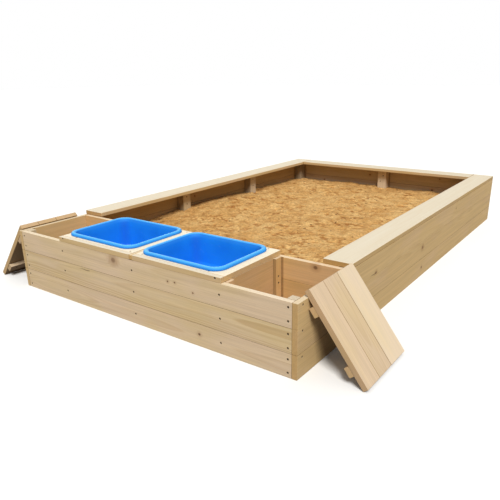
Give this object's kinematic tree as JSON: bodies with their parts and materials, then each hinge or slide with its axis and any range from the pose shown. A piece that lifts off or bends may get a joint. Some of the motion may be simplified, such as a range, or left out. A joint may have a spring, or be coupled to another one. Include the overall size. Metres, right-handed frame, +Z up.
{
  "type": "sandpit with storage boxes and tubs",
  "caption": "Long timber sandpit with seat boards round the sand, a play deck holding lift-out plastic tubs, and storage boxes whose loose lids lean on the side walls.",
  "frame": {"origin": "on the ground, on the underside of the ground sheet, at the middle of the rectangle of the four outer walls", "axes": "+Z up, +Y from the play deck end to the far end, +X to the right of someone facing the play deck end"},
  "size_m": [1.4398, 1.8, 0.2228],
  "materials": {
    "wall_pine": "matte",
    "inside_pine": "matte",
    "seat_pine": "matte",
    "lid_pine": "matte",
    "plywood": "matte",
    "blue_plastic": "satin",
    "loose_sand": "matte",
    "sheet_fabric": "matte"
  },
  "bodies": {
    "sandpit": {"right_side_plank_1": "wall_pine", "right_side_plank_2": "wall_pine", "right_side_plank_3": "wall_pine", "left_side_plank_1": "wall_pine", "left_side_plank_2": "wall_pine", "left_side_plank_3": "wall_pine", "front_plank_1": "wall_pine", "front_plank_2": "wall_pine", "front_plank_3": "wall_pine", "back_plank_1": "wall_pine", "back_plank_2": "wall_pine", "back_plank_3": "wall_pine", "cross_wall_plank_1": "inside_pine", "cross_wall_plank_2": "inside_pine", "cross_wall_plank_3": "inside_pine", "left_divider": "inside_pine", "centre_divider": "inside_pine", "right_divider": "inside_pine", "right_storage_floor": "plywood", "right_front_post": "inside_pine", "right_near_batten": "inside_pine", "right_far_batten": "inside_pine", "left_storage_floor": "plywood", "left_front_post": "inside_pine", "left_near_batten": "inside_pine", "left_far_batten": "inside_pine", "right_side_post_1": "inside_pine", "right_side_post_2": "inside_pine", "right_back_corner_post": "inside_pine", "right_cross_post": "inside_pine", "left_side_post_1": "inside_pine", "left_side_post_2": "inside_pine", "left_back_corner_post": "inside_pine", "left_cross_post": "inside_pine", "back_centre_post": "inside_pine", "right_seat": "seat_pine", "left_seat": "seat_pine", "back_seat": "seat_pine", "centre_rail": "seat_pine", "left_fascia": "wall_pine", "right_fascia": "wall_pine", "left_tub_panel": "seat_pine", "right_tub_panel": "seat_pine", "ground_sheet": "sheet_fabric", "sand": "loose_sand"},
    "tub_left": {"left_tub": "blue_plastic"},
    "tub_right": {"right_tub": "blue_plastic"},
    "lid_left": {"left_lid_board_1": "lid_pine", "left_lid_board_2": "lid_pine", "left_lid_board_3": "lid_pine", "left_lid_cleat_1": "lid_pine", "left_lid_cleat_2": "lid_pine"},
    "lid_right": {"right_lid_board_1": "lid_pine", "right_lid_board_2": "lid_pine", "right_lid_board_3": "lid_pine", "right_lid_cleat_1": "lid_pine", "right_lid_cleat_2": "lid_pine"}
  },
  "joints": [
    {"name": "left_tub_lift", "type": "slide", "parent": "sandpit", "child": "tub_left", "axis": [0, 0, 1], "range_m": [0, 0.2]},
    {"name": "right_tub_lift", "type": "slide", "parent": "sandpit", "child": "tub_right", "axis": [0, 0, 1], "range_m": [0, 0.2]},
    {"name": "left_lid_lift", "type": "slide", "parent": "sandpit", "child": "lid_left", "axis": [0, 0, 1], "range_m": [0, 0.26]},
    {"name": "right_lid_lift", "type": "slide", "parent": "sandpit", "child": "lid_right", "axis": [0, 0, 1], "range_m": [0, 0.26]}
  ]
}
